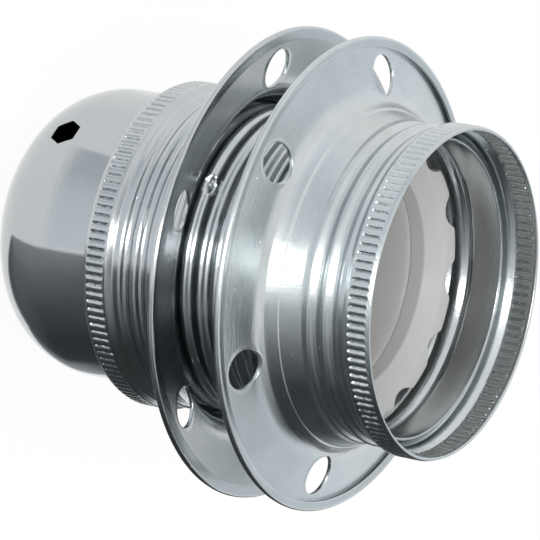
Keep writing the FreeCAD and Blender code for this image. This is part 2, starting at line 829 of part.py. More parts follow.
# Centre contact
def make_centre_contact():
    """A bent strip: foot under its screw, then up and over to the middle of the shell."""
    foot_end = (contact_screw_x + cell("head_radius")).value
    floor = floor_top.value
    rise = cell("contact_rise").value
    bend = cell("contact_bend").value
    corners = [
        (-foot_end, floor, 0),
        (-foot_end + 2 * cell("head_radius").value + cell("contact_sheet").value, floor, 0.3 * bend),
        (-0.35 * rise, floor + rise, bend),
        (0.6 * rise, floor + 0.9 * rise, 0.5 * bend),
        (0.8 * rise, floor + 0.6 * rise, 0),
    ]
    width = cell("contact_width").value
    face = sheet_face(corners, cell("contact_sheet").value)
    face.translate(Vector(0, -width / 2, 0))
    strip = doc.addObject("Part::Feature", "contact_strip")
    strip.Shape = face.extrude(Vector(0, width, 0))
    hole = cylinder("contact_hole", cell("screw_radius") + cell("screw_play"), cell("insert_floor"),
                    x=-contact_screw_x, z=floor_top - cell("insert_floor") / 2)
    return cut("centre_contact", strip, [hole])


centre_contact = make_centre_contact()


# Screws with slotted heads
def slotted_screw(label, head_height, shank, **place):
    """A cheese-head screw, shank downwards from a head that starts at the place given."""
    head = cylinder(f"{label}_head", cell("head_radius"), head_height)
    stem = cylinder(f"{label}_stem", cell("screw_radius"), shank, z=-shank)
    slot = box(f"{label}_slot", cell("head_radius") * 4, cell("slot_width"), cell("slot_depth") * 2,
               x=-cell("head_radius") * 2, y=-cell("slot_width") / 2, z=head_height - cell("slot_depth"))
    return put(cut(label, fused(f"{label}_blank", [head, stem]), [slot]), **place)


block_foot = floor_foot - cell("block_height")
through_floor = cell("insert_floor") + cell("block_height") / 2
shell_screws = [
    slotted_screw(f"shell_screw_{i + 1}", cell("head_height"), through_floor + cell("shell_sheet"),
                  x=shell_screw_x, y=shell_screw_y * side, z=floor_top + cell("shell_sheet"))
    for i, side in enumerate((1, -1))
]
contact_screw = slotted_screw(
    "contact_screw", cell("head_height"), through_floor + cell("contact_sheet"),
    x=-contact_screw_x, z=floor_top + cell("contact_sheet"),
)
wire_screw_length = cell("block_height") / 2 - cell("wire_hole_radius") / 2 + cell("seat_play") * 3
neutral_wire_screw = slotted_screw(
    "neutral_wire_screw", cell("head_height"), wire_screw_length,
    x=shell_screw_x, z=block_foot - cell("seat_play") * 3, axis=Vector(1, 0, 0), angle=180,
)
line_wire_screw = slotted_screw(
    "line_wire_screw", cell("head_height"), wire_screw_length,
    x=-wire_screw_x, z=block_foot - cell("seat_play") * 3, axis=Vector(1, 0, 0), angle=180,
)
earth_screw = slotted_screw(
    "earth_screw", cell("head_height"),
    cell("tag_upright_reach") - cell("bush_neck_radius") - cell("seat_play") * 2,
    y=cell("tag_upright_reach"), z=tag_foot + cell("tag_screw_height"),
    axis=Vector(1, 0, 0), angle=-90,
)


# Terminal blocks
def terminal_block(label, length, width, middle_x, holes, wire_x, wire_along_x):
    """A brass block against the insert's floor, drilled for its screws and for the wire."""
    blank = box(f"{label}_blank", length, width, cell("block_height"),
                x=middle_x - length / 2, y=-width / 2, z=block_foot)
    tools = []
    for i, (x, y, from_below) in enumerate(holes):
        start = block_foot - cell("block_height") / 2 if from_below else block_foot + cell("block_height") / 2
        tools.append(cylinder(f"{label}_thread_{i + 1}", cell("screw_radius") + cell("screw_play"),
                              cell("block_height"), x=x, y=y, z=start))
    middle = block_foot + cell("block_height") / 2
    if wire_along_x:
        tools.append(cylinder(f"{label}_wire_hole", cell("wire_hole_radius"), length * 2,
                              x=middle_x - length, z=middle, axis=Vector(0, 1, 0), angle=90))
    else:
        tools.append(cylinder(f"{label}_wire_hole", cell("wire_hole_radius"), width * 2,
                              x=wire_x, y=width, z=middle, axis=Vector(1, 0, 0), angle=90))
    return cut(label, blank, tools)


neutral_x = shell_screw_x
neutral_terminal = terminal_block(
    "neutral_terminal", cell("neutral_width"), neutral_length, neutral_x,
    [(neutral_x, shell_screw_y, False), (neutral_x, -shell_screw_y, False),
     (neutral_x, as_size(0), True)],
    neutral_x, True,
)
line_length = wire_screw_x - contact_screw_x + cell("line_end_margin") * 2
line_middle = -(wire_screw_x + contact_screw_x) / 2
line_terminal = terminal_block(
    "line_terminal", line_length, cell("line_width"), line_middle,
    [(-contact_screw_x, as_size(0), False), (-wire_screw_x, as_size(0), True)],
    -wire_screw_x, False,
)

pieces = [
    cap, entry_bush, bush_nut, grub_screw, earth_tag, earth_screw, porcelain_insert, screw_shell,
    *shell_screws, centre_contact, contact_screw, neutral_terminal, neutral_wire_screw,
    line_terminal, line_wire_screw, jacket, porcelain_collar, front_ring, rear_ring,
]

doc.recompute()
for item in doc.Objects:
    if "Invalid" in item.State or "Error" in item.State:
        raise RuntimeError(f"{item.Label} did not build: {item.State}")
for piece in pieces:
    piece.Label = piece.Name
    if piece.Shape.isNull() or not piece.Shape.isValid():
        raise RuntimeError(f"{piece.Label} has no valid shape")
    if len(piece.Shape.Solids) != 1:
        raise RuntimeError(f"{piece.Label} is {len(piece.Shape.Solids)} solids")
    piece.Shape.exportStep(f"parts/{piece.Label}.step")
    print(f"{piece.Label}: {piece.Shape.Volume:.1f} cubic millimetres")
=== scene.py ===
# %% [markdown]
# # A screw lamp holder of zinc-plated sheet steel and porcelain
#
# The real object is pressed and rolled from thin sheet: a domed cap, a threaded jacket and two
# shade rings that screw along it, with white porcelain inside. The solids that carry the sizes
# come from the frame. This lesson gives them the fine folds, knurls and finishes that a lathe-made
# solid lacks, and sets them under soft studio light.

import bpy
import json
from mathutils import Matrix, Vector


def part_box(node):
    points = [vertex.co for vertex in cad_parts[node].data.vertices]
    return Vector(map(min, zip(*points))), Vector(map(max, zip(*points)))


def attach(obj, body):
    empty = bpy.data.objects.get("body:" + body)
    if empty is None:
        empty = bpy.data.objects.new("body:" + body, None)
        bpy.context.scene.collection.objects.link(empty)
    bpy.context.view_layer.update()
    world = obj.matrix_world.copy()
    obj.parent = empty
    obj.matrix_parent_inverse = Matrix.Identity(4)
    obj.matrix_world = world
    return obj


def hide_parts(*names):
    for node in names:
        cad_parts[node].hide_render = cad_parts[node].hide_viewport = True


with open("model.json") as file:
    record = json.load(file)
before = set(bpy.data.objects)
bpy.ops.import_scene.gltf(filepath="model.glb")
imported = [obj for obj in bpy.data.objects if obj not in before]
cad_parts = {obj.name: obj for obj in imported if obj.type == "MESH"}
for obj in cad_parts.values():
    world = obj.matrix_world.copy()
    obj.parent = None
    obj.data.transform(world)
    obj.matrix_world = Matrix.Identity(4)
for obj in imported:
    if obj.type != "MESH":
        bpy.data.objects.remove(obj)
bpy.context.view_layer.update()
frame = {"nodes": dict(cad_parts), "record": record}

import json
import math

import bmesh
import bpy
import numpy as np
from mathutils import Matrix, Vector

MM = 0.001

# %% [markdown]
# ## The heights and radii that pieces share
#
# Every piece is worked out in millimetres above the foot and turned to metres at the end. The
# rolled round thread runs through jacket, cap and rings, so its wave is described once: straight
# flanks at 46 degrees, and one bend radius for crests and roots. It is made as rings and not as a
# helix, so that a piece can turn in place without cutting into its neighbour.

# %% Shared sizes
SHEET = 0.4
PITCH = 2.3
DEPTH = 0.6
FLANK = math.radians(46)
SLOPE = math.tan(FLANK)
OVER = (PITCH / 2 * SLOPE - DEPTH) / 2  # how far the corners stand beyond the bent line
WAVE_BEND = OVER / (1 / math.cos(FLANK) - 1)
WAVE_RUN = (DEPTH + OVER) / SLOPE
CREST = 19.65
ROOT = CREST - DEPTH
FRONT_FLANGE = 46.2
FIRST_GROOVE = 8.45  # from a ring's flange to its first groove
REAR_FLANGE = FRONT_FLANGE + 2 * FIRST_GROOVE - 11 * PITCH
LAST_ROOT = FRONT_FLANGE + FIRST_GROOVE
FIRST_ROOT = LAST_ROOT - 12 * PITCH
print("thread bends", round(WAVE_BEND, 3), "flank run", round(WAVE_RUN, 3))

# %% [markdown]
# ## From corners to a bent sheet
#
# A press tool bends sheet round a radius, so a section is a list of corners, each with its bend.
# Between corners the line is straight. At a corner it follows an arc that is tangent to both
# runs. The other face of the sheet lies one thickness along the line's normals, which keeps the
# wall even through every bend.


# %% Bent lines and sheet sections
def bent_line(corners, per_arc=6):
    """Points and left-hand normals along a line of corners (radius, height, bend).

    Each bend is an arc whose centre lies on the bisector of the corner, at bend over the cosine
    of half the turn, so that the arc starts and ends on the two runs.
    """
    ends = np.array([c[:2] for c in corners], float)
    runs = np.diff(ends, axis=0)
    runs /= np.linalg.norm(runs, axis=1)[:, None]
    left = np.stack([-runs[:, 1], runs[:, 0]], 1)
    points = [ends[:1]]
    normals = [left[:1]]
    for i in range(1, len(ends) - 1):
        before, after = left[i - 1], left[i]
        side = np.sign(runs[i - 1][0] * runs[i][1] - runs[i - 1][1] * runs[i][0])
        half = math.acos(np.clip(before @ after, -1, 1)) / 2
        middle = (before + after) / np.linalg.norm(before + after)
        if corners[i][2] <= 0 or half < 1e-5:
            points.append(ends[i:i + 1])
            normals.append(middle[None])
            continue
        centre = ends[i] + side * middle * corners[i][2] / math.cos(half)
        start = math.atan2(before[1], before[0])
        turn = np.linspace(0, 2 * half * side, per_arc) + start
        fan = np.stack([np.cos(turn), np.sin(turn)], 1)
        points.append(centre - side * fan * corners[i][2])
        normals.append(fan)
    points.append(ends[-1:])
    normals.append(left[-1:])
    return np.concatenate(points), np.concatenate(normals)


def wave(first, count, crest, start="root"):
    """Corners of a rolled thread: roots and crests alternate every half pitch from first."""
    heights = first + np.arange(count) * PITCH / 2
    odd = np.arange(count) % 2 == (0 if start == "crest" else 1)
    radii = np.where(odd, crest + OVER, crest - DEPTH - OVER)
    return [(r, h, WAVE_BEND) for r, h in zip(radii, heights)]


def round_end(tip_a, tip_b, count=5):
    """Points of the slightly flat half circle that closes a cut edge of the sheet.

    With the middle m of the two faces, half their gap g and the way ahead n, each point is
    m + g cos t + 0.8 n sin t.
    """
    middle = (tip_a + tip_b) / 2
    across = (tip_a - tip_b) / 2
    ahead = np.array([-across[1], across[0]])
    turn = np.linspace(0, math.pi, count + 2)[1:-1]
    return middle + np.outer(np.cos(turn), across) + np.outer(np.sin(turn), ahead) * 0.8


print("a bent corner has", len(bent_line([(0, 0, 0), (1, 0, 0.3), (1, 1, 0)])[0]), "points")

# %% [markdown]
# ## Skins: rows of points joined into faces
#
# A turned piece is a stack of rows, each a full circle of points. Neighbouring rows are joined by
# quads. A knurled row needs many more points than a plain one, so a coarse row may meet a row
# with a whole number of times its points, and each coarse step then closes with one wider face.
# A punched hole takes a block of quads out and fills it with rings that run from the block's
# square edge to the hole's own outline, as a press would draw the metal.


# %% The skin builder
class Skin:
    """Collects points and faces as whole arrays and turns them into one mesh."""

    def __init__(self):
        self.points = []
        self.faces = []
        self.count = 0

    def add(self, xyz):
        """Store points of any array shape and give their numbers in the same shape."""
        xyz = np.asarray(xyz, float)
        ids = self.count + np.arange(xyz[..., 0].size).reshape(xyz.shape[:-1])
        self.points.append(xyz.reshape(-1, 3))
        self.count += ids.size
        return ids

    def join(self, a, b, keep=None):
        """Faces between two closed rows; one may have a whole multiple of the other's points."""
        if len(a) > len(b):
            a, b = b, a
        fine = b.reshape(len(a), -1)
        face = np.column_stack([a, np.roll(a, -1), np.roll(fine[:, 0], -1), fine[:, ::-1]])
        self.faces.append(face if keep is None else face[keep])

    def punch(self, rows, first, last, flat, outline, place, steps, lips):
        """Replace a block of the grid by rings that end on a hole.

        rows holds the block's point numbers, flat their places on the flattened sheet. The rings
        run in straight lines on the flat from the block's edge to the outline, and place bends
        them back onto the sheet. lips are the last rings, as (distance from hole, lift).
        """
        top, bottom = rows[0, first:last + 1], rows[-1, first:last + 1][::-1]
        right, left_side = rows[1:-1, last], rows[1:-1, first][::-1]
        loop = np.concatenate([top, right, bottom, left_side])
        edge = np.concatenate([flat[0, first:last + 1], flat[1:-1, last],
                               flat[-1, first:last + 1][::-1], flat[1:-1, first][::-1]])
        rim, outward = outline(edge)
        goal = rim + outward * lips[0][0]
        rings = [(edge + (goal - edge) * s, 0.0) for s in steps]
        rings += [(rim + outward * gap, lift) for gap, lift in lips]
        before = loop
        for spot, lift in rings:
            ids = self.add(place(spot, lift))
            self.join(before, ids)
            before = ids
        return before

    def build(self, name, smooth_angle=35):
        """The finished piece as an object, with faces turned outwards."""
        mesh = bpy.data.meshes.new(name)
        points = np.concatenate(self.points) * MM
        sizes = np.concatenate([np.full(len(f), f.shape[1]) for f in self.faces])
        corners = np.concatenate([f.ravel() for f in self.faces])
        mesh.vertices.add(len(points))
        mesh.vertices.foreach_set("co", points.astype(np.float32).ravel())
        mesh.loops.add(len(corners))
        mesh.loops.foreach_set("vertex_index", corners.astype(np.int32))
        mesh.polygons.add(len(sizes))
        starts = np.concatenate([[0], np.cumsum(sizes)[:-1]])
        mesh.polygons.foreach_set("loop_start", starts.astype(np.int32))
        mesh.update(calc_edges=True)
        work = bmesh.new()
        work.from_mesh(mesh)
        bmesh.ops.recalc_face_normals(work, faces=work.faces)
        work.to_mesh(mesh)
        work.free()
        mesh.shade_smooth()
        mesh.set_sharp_from_angle(angle=math.radians(smooth_angle))
        piece = bpy.data.objects.new(name, mesh)
        bpy.context.scene.collection.objects.link(piece)
        triangles = int((sizes - 2).sum())
        print(f"{name}: {len(points)} points, {triangles} triangles")
        return piece


def around(radius, height, angles):
    """Rows of points round the axis: x = r cos a, y = r sin a, z = h."""
    radius, height, angles = np.broadcast_arrays(radius, height, angles)
    return np.stack([radius * np.cos(angles), radius * np.sin(angles), height], -1)


def lathe(name, loop, columns, bend=None):
    """A closed section turned about the axis, with an optional change of radius by place."""
    skin = Skin()
    angles = np.asarray(columns)[None]
    radius = np.broadcast_to(loop[:, :1], (len(loop), len(columns)))
    height = np.broadcast_to(loop[:, 1:], radius.shape)
    if bend is not None:
        radius = radius + bend(angles, height)
    rows = skin.add(around(radius, height, angles))
    for i in range(len(rows)):
        skin.join(rows[i - 1], rows[i])
    return skin.build(name)


def dress(piece, body, slot_name, *nodes):
    """Let the piece ride on its body and hide the nodes it stands for; slot_name is not used."""
    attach(piece, body)
    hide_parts(*nodes)
    return piece


PLAIN = np.linspace(0, 2 * math.pi, 240, endpoint=False)
print("plain rows have", len(PLAIN), "points")

# %% [markdown]
# ## The shade rings
#
# Each ring is one pressing. Its flange edge is folded back on itself, the plate rises gently to a
# throat, a small step marks where the first draw stopped, and two thread grooves are rolled into
# the neck. The knurl at the rim is rolled through the thin sheet, so its ribs stand on the inside
# too. Both rings come from the same section: the rear one is turned over.

# %% The ring's section
NECK = 20.3
GROOVE = NECK - DEPTH - OVER
SECOND_GROOVE = FIRST_GROOVE + PITCH
RING_CORNERS = [
    (28.9, 0.6, 0), (29.6, 0.6, 0.05), (29.6, 0.5, 0.05), (28.55, 0.5, 0.6),  # hem
    (22.2, 2.1, 3.0), (21.45, 3.95, 0.42), (21.2, 4.1, 0.42), (NECK, 6.6, 2.0),  # plate and throat
    (NECK, FIRST_GROOVE - WAVE_RUN, WAVE_BEND), (GROOVE, FIRST_GROOVE, WAVE_BEND),
    (NECK + OVER, FIRST_GROOVE + PITCH / 2, WAVE_BEND), (GROOVE, SECOND_GROOVE, WAVE_BEND),
    (NECK, SECOND_GROOVE + WAVE_RUN, WAVE_BEND), (NECK, 12.5, 0.42),
    (20.95, 13.15, 0.42), (20.95, 15.94, 0.5), (20.75, 16.45, 0),  # rim and lip
]
KNURL_LOW, KNURL_HIGH, KNURL_TEETH = 13.6, 15.95, 120
PLATE_OUT, PLATE_IN = 28.35, 22.25
HOLES, HOLE_CIRCLE, HOLE_RADIUS = 6, 25.3, 2.5
tooth = np.array([-0.5, -0.3, -0.18, -0.08, 0, 0.08, 0.18, 0.3])  # crowded at the valley
KNURLED = ((np.arange(KNURL_TEETH)[:, None] + tooth).ravel()) * 2 * math.pi / KNURL_TEETH
print("knurled rows have", len(KNURLED), "points")


def knurl_press(angles, height):
    """How far the knurl is pressed in, faded in and out with height.

    Each tooth has a rounded back, a cosine, and a narrow valley, a bell curve of the distance
    from the tooth's line. No two teeth of a rolled knurl match, so two slow waves over the tooth's
    number change its depth and where it ends, and its end is bitten a little deeper.
    """
    phase = angles * KNURL_TEETH / (2 * math.pi)
    number = np.round(phase) % KNURL_TEETH
    off = phase - np.round(phase)
    uneven = 0.6 * np.sin(number * 2.41) + 0.4 * np.sin(number * 5.83 + 1.0)
    start = height - KNURL_LOW - 0.13 * uneven
    bite = np.exp(-((start - 0.1) / 0.13) ** 2) * (0.5 + 0.35 * np.sin(number * 4.1))
    fade = np.clip((start + 0.12) / 0.26, 0, 1) * np.clip((KNURL_HIGH + 0.16 - height) / 0.32, 0, 1)
    wander = 0.03 * uneven + 0.025 * np.sin(height * 5.0 + number * 2.0)
    valley = np.exp(-((off + wander) / 0.125) ** 2) * (1 + 0.18 * uneven + bite)
    return -(0.2 * valley + 0.035 * (1 + np.cos(2 * math.pi * off))) * fade


def densify(line, normals, low, high, step):
    """More points on the straight runs that lie between two heights."""
    made = [line[:1]]
    made_normals = [normals[:1]]
    for i in range(1, len(line)):
        gap = line[i] - line[i - 1]
        inside = low < max(line[i][1], line[i - 1][1]) and min(line[i][1], line[i - 1][1]) < high
        parts = max(1, int(np.ceil(np.linalg.norm(gap) / step))) if inside else 1
        share = (np.arange(1, parts + 1) / parts)[:, None]
        made.append(line[i - 1] + share * gap)
        made_normals.append(normals[i - 1] + share * (normals[i] - normals[i - 1]))
    unit = np.concatenate(made_normals)
    return np.concatenate(made), unit / np.linalg.norm(unit, axis=1)[:, None]


def split_plate(line, count=9):
    """The line's parts before, across and after the plate, the middle one at fixed radii."""
    radii = np.linspace(PLATE_OUT, PLATE_IN, count)
    first = int(np.argmax((line[:, 0] < PLATE_OUT) & (np.arange(len(line)) > 8)))
    last = first + int(np.argmax(line[first:, 0] < PLATE_IN))
    heights = np.interp(-radii, -line[first - 1:last + 1, 0], line[first - 1:last + 1, 1])
    return line[:first], np.column_stack([radii, heights]), line[last:]


outer_line, outer_normals = bent_line(RING_CORNERS)
outer_line, outer_normals = densify(outer_line, outer_normals, 13.3, 16.0, 0.17)
inner_line = outer_line + outer_normals * SHEET
print("ring section rows:", len(outer_line))

# %% [markdown]
# The six holes are punched from the neck side. Each takes out a block of the plate's grid, on the
# neck side and on the gap side, and the two outlines are joined by the hole's wall. The last
# rings stand slightly proud, as the burr left by the punch does.


# %% Building a ring
HALF_BLOCK = 9  # plain columns on each side of a hole


def make_ring(name, level, flip, hole_turn):
    """A shade ring at its level; flip = -1 turns it over about the x axis."""
    skin = Skin()

    def set_out(xyz):
        xyz = xyz * np.array([1.0, flip, flip])
        return xyz + np.array([0, 0, level])

    def add_row(point):
        rolled = KNURL_LOW - 0.2 < point[1] < KNURL_HIGH + 0.2
        angles = KNURLED if rolled else PLAIN
        radius = point[0] + (knurl_press(angles, point[1]) if rolled else 0)
        return skin.add(set_out(around(radius, point[1], angles)))

    rims = []
    ends = []
    for line, lift in ((outer_line, 1), (inner_line, -1)):
        hem, plate, neck = split_plate(line)
        hem_rows = [add_row(p) for p in hem]
        neck_rows = [add_row(p) for p in neck]
        grid = skin.add(set_out(around(plate[:, :1], plate[:, 1:], PLAIN[None])))
        for rows in (hem_rows, neck_rows):
            for a, b in zip(rows, rows[1:]):
                skin.join(a, b)
        skin.join(hem_rows[-1], grid[0])
        skin.join(grid[-1], neck_rows[0])
        ends.append((hem_rows[0], neck_rows[-1]))
        flat = around(plate[:, :1], 0, PLAIN[None])[..., :2]
        keep = np.ones(len(PLAIN), bool)
        outlines = []

        def place(spot, rise, plate=plate, lift=lift):
            radius = np.hypot(spot[:, 0], spot[:, 1])
            height = np.interp(-radius, -plate[:, 0], plate[:, 1])
            return set_out(np.column_stack([spot, height + lift * rise]))

        for k in range(HOLES):
            middle = math.radians(hole_turn + 360 / HOLES * k) % (2 * math.pi)
            column = int(round(middle / (2 * math.pi) * len(PLAIN)))
            centre = HOLE_CIRCLE * np.array([math.cos(middle), math.sin(middle)])
            shift = np.roll(np.arange(len(PLAIN)), -(column - HALF_BLOCK))
            keep[shift[:2 * HALF_BLOCK]] = False

            def outline(edge, centre=centre):
                away = edge - centre
                away /= np.linalg.norm(away, axis=1)[:, None]
                return centre + HOLE_RADIUS * away, away

            outlines.append(skin.punch(
                grid[:, shift], 0, 2 * HALF_BLOCK, flat[:, shift], outline, place,
                (0.3, 0.6, 0.85), ((0.34, 0.0), (0.16, 0.045), (0.05, 0.03), (0.0, -0.05)),
            ))
        for a, b in zip(grid, grid[1:]):
            skin.join(a, b, keep)
        rims.append(outlines)
    for a, b in zip(*rims):
        skin.join(a, b)
    for which, end in ((0, 0), (1, -1)):
        edge = round_end(outer_line[end], inner_line[end]) if which else round_end(
            inner_line[end], outer_line[end])[::-1]
        rows = [ends[0][which]] + [add_row(p) for p in edge] + [ends[1][which]]
        for a, b in zip(rows, rows[1:]):
            skin.join(a, b)
    return skin.build(name)


front_ring = dress(make_ring("front_ring_pressing", FRONT_FLANGE, 1, -19.9),
                   "front_ring_body", "zinc_steel", "front_shade_ring")
rear_ring = dress(make_ring("rear_ring_pressing", REAR_FLANGE, -1, 1.4),
                  "rear_ring_body", "zinc_steel", "rear_shade_ring")

# %% [markdown]
# ## The jacket
#
# The jacket is a tube with a round thread rolled along most of its length. Three small pips are
# pressed in from outside to sit over the flange of the porcelain. The columns of its grid are
# set closer where a pip stands, so that its dimple stays round.

# %% The jacket and its pips
JACKET_FOOT = FIRST_ROOT - 4.45
JACKET_TOP = FRONT_FLANGE + 12.1
PIP_HEIGHT = FRONT_FLANGE - 10.2
PIP_RADIUS = 1.45
PIP_DEPTH = 0.85
PIP_ANGLES = np.radians(-76.0 + 120 * np.arange(3))
jacket_corners = [(CREST, JACKET_FOOT, 0), (CREST, FIRST_ROOT - WAVE_RUN, WAVE_BEND)]
jacket_corners += wave(FIRST_ROOT, 25, CREST)[:-1]
jacket_corners += [(ROOT, LAST_ROOT - PITCH / 2 + WAVE_RUN, WAVE_BEND), (ROOT, JACKET_TOP, 0)]


def crowded(spots, reach, fine, coarse):
    """Angles round the circle, fine within reach of each spot and coarse between them."""
    near = np.concatenate([s + np.arange(-reach, reach + fine / 2, fine) for s in spots]) % (2 * math.pi)
    wide = np.arange(0, 2 * math.pi, coarse)
    gap = np.abs((wide[:, None] - near[None] + math.pi) % (2 * math.pi) - math.pi).min(1)
    return np.sort(np.concatenate([near, wide[gap > coarse * 0.6]]))


def pip_dent(angles, height):
    """Depth of the nearest pip: a power of one minus the squared share of its radius."""
    turn = np.abs((angles[..., None] - PIP_ANGLES + math.pi) % (2 * math.pi) - math.pi).min(-1)
    far = np.hypot(turn * ROOT, height - PIP_HEIGHT) / PIP_RADIUS
    return -PIP_DEPTH * np.clip(1 - far ** 2, 0, 1) ** 1.3


jacket_line, jacket_normals = bent_line(jacket_corners, per_arc=5)
jacket_inner = jacket_line + jacket_normals * SHEET
jacket_loop = np.concatenate([
    jacket_line, round_end(jacket_line[-1], jacket_inner[-1]), jacket_inner[::-1],
    round_end(jacket_inner[0], jacket_line[0]),
])
jacket_columns = crowded(PIP_ANGLES, math.radians(5.2), math.radians(0.5), math.radians(2.0))
jacket = dress(lathe("jacket_tube", jacket_loop, jacket_columns, bend=pip_dent),
               "jacket_body", "zinc_steel", "jacket")

# %% [markdown]
# ## The cap
#
# The cap is drawn deep: a flat seat for the entry bush, a rounded haunch, a shoulder that runs
# into a straight wall, and a threaded skirt that the jacket covers. One small hexagonal hole is
# punched through the shoulder. Its corners point round the cap.

# %% The cap with its hexagonal hole
CAP_SHEET = 0.6
CAP_FOOT = 0.9
CAP_TOP = CAP_FOOT + 29.1
CAP_WALL = 18.65
CAP_CREST = 19.0
low_crest = FIRST_ROOT - PITCH / 2
cap_corners = [
    (6.1, CAP_FOOT, 0), (7.9, CAP_FOOT, 0.8), (13.0, CAP_FOOT + 2.05, 14.8),
    (CAP_WALL, CAP_FOOT + 7.2, 11.1), (CAP_WALL, low_crest - (CAP_CREST + OVER - CAP_WALL) / SLOPE, 0.7),
]
cap_corners += wave(low_crest, 3, CAP_CREST, "crest")
cap_corners += [(CAP_CREST - DEPTH, low_crest + PITCH + WAVE_RUN, WAVE_BEND),
                (CAP_CREST - DEPTH, CAP_TOP, 0)]
cap_line, cap_normals = bent_line(cap_corners, per_arc=12)
cap_line, cap_normals = densify(cap_line, cap_normals, 8.0, 14.5, 0.5)
cap_inner = cap_line + cap_normals * CAP_SHEET
HEX_HEIGHT = CAP_FOOT + 10.46
HEX_TURN = -math.pi / 2
HEX_REACH = 1.775  # half the width across its flats
HEX_WALL = 18.4  # the cap's radius where the hole is


def make_cap():
    """The cap's two faces as grids of rows, with the hexagonal hole between them."""
    skin = Skin()
    columns = crowded([HEX_TURN], math.radians(11), math.radians(1.0), math.radians(1.875))
    turn = (columns - HEX_TURN + math.pi) % (2 * math.pi) - math.pi
    columns = columns[np.argsort(turn)]
    turn = np.sort(turn)
    first, last = np.searchsorted(turn, np.radians([-9.0, 9.0]))
    low, high = np.searchsorted(cap_line[:, 1], [HEX_HEIGHT - 3.1, HEX_HEIGHT + 2.9])
    faces = []
    rims = []
    for line, side in ((cap_line, 1), (cap_inner, -1)):
        rows = skin.add(around(line[:, :1], line[:, 1:], columns[None]))
        block = slice(low, high)
        flat = np.stack(np.broadcast_arrays(HEX_WALL * turn[None], line[block, 1:] - HEX_HEIGHT), -1)

        def outline(edge):
            angle = np.arctan2(edge[:, 1], edge[:, 0])
            sector = (angle % (math.pi / 3)) - math.pi / 6
            reach = HEX_REACH / np.cos(sector)
            away = np.column_stack([np.cos(angle), np.sin(angle)])
            return away * reach[:, None], away

        def place(spot, lift, line=line, side=side):
            height = spot[:, 1] + HEX_HEIGHT
            radius = np.interp(height, line[low - 2:high + 2, 1], line[low - 2:high + 2, 0])
            return around(radius + side * lift, height, HEX_TURN + spot[:, 0] / HEX_WALL)

        rims.append(skin.punch(
            rows[block], first, last, flat, outline, place,
            (0.3, 0.6, 0.85), ((0.25, 0.0), (0.08, 0.0), (0.02, -0.03), (0.0, -0.08)),
        ))
        keep = np.ones(len(columns), bool)
        keep[first:last] = False
        for i in range(1, len(rows)):
            skin.join(rows[i - 1], rows[i], keep if low < i < high else None)
        faces.append(rows)
    skin.join(*rims)
    for end, tips in ((-1, (cap_line[-1], cap_inner[-1])), (0, (cap_inner[0], cap_line[0]))):
        edge = round_end(*tips)
        edge = edge if end else edge[::-1]
        rows = [faces[0][end], *skin.add(around(edge[:, :1], edge[:, 1:], columns[None])), faces[1][end]]
        for a, b in zip(rows, rows[1:]):
            skin.join(a, b)
    return skin.build("cap_drawing")


cap = dress(make_cap(), "holder", "zinc_steel", "cap")

# %% [markdown]
# ## The porcelain
#
# The collar is pressed porcelain: a ring with twelve scallops that fingers or a key can grip. Its
# outer radius is the smaller of the plain ring and a round scoop, and every corner is soft,
# because clay and glaze never leave a sharp edge. The insert is the cup below it.


# %% The scalloped collar
COLLAR_FOOT = FRONT_FLANGE + 1.7
COLLAR_TOP = FRONT_FLANGE + 6.3
COLLAR_BORE = 14.1
COLLAR_RADIUS = 17.95
COLLAR_THREAD = FRONT_FLANGE + 2.8  # middle of the one thread that holds it in the jacket
SCOOPS, SCOOP_CENTRE, SCOOP_RADIUS = 12, 19.75, 3.35
SCOOP_TURN = math.radians(14.0)


def scoop_radius(angles):
    """Outer radius along the collar: plain, or where a scallop's circle cuts in.

    A circle of radius R centred at distance c reaches r = c cos a - sqrt(R^2 - (c sin a)^2). The
    smaller of r and the plain radius is taken softly: minus the log of the sum of exp(-ease r)
    over both, over ease. Beyond the circle r climbs steeply, so that the plain radius wins.
    """
    ease, climb = 6, 40
    part = (angles - SCOOP_TURN + math.pi / SCOOPS) % (2 * math.pi / SCOOPS) - math.pi / SCOOPS
    inside = SCOOP_RADIUS ** 2 - (SCOOP_CENTRE * np.sin(part)) ** 2
    cut = SCOOP_CENTRE * np.cos(part) - np.sqrt(np.maximum(inside, 0))
    beyond = np.abs(part) - math.asin(SCOOP_RADIUS / SCOOP_CENTRE)
    cut = np.where(inside > 0, cut, SCOOP_CENTRE + beyond * climb)
    return -np.log(np.exp(-cut * ease) + np.exp(-COLLAR_RADIUS * ease)) / ease


collar_corners = [
    (COLLAR_BORE, COLLAR_FOOT, 0), (COLLAR_BORE, COLLAR_TOP - 2.65, 0.5),
    (16.0, COLLAR_TOP - 0.64, 0.6), (COLLAR_RADIUS, COLLAR_TOP, 0.45),
    (COLLAR_RADIUS, COLLAR_THREAD + 2.0, 0), (COLLAR_RADIUS, COLLAR_THREAD + 1.4, 0),
    (COLLAR_RADIUS, COLLAR_THREAD + 0.9, 0.15), (COLLAR_RADIUS + 1, COLLAR_THREAD + 0.32, 0.2),
    (COLLAR_RADIUS + 1, COLLAR_THREAD - 0.32, 0.2), (COLLAR_RADIUS, COLLAR_THREAD - 0.9, 0.15),
    (COLLAR_RADIUS, COLLAR_FOOT, 0.3), (COLLAR_BORE, COLLAR_FOOT, 0),
]
collar_line, _ = densify(*bent_line(collar_corners, per_arc=5), COLLAR_TOP - 0.6, COLLAR_TOP + 1, 0.35)
collar_line = collar_line[:-1]
print("collar section rows:", len(collar_line))


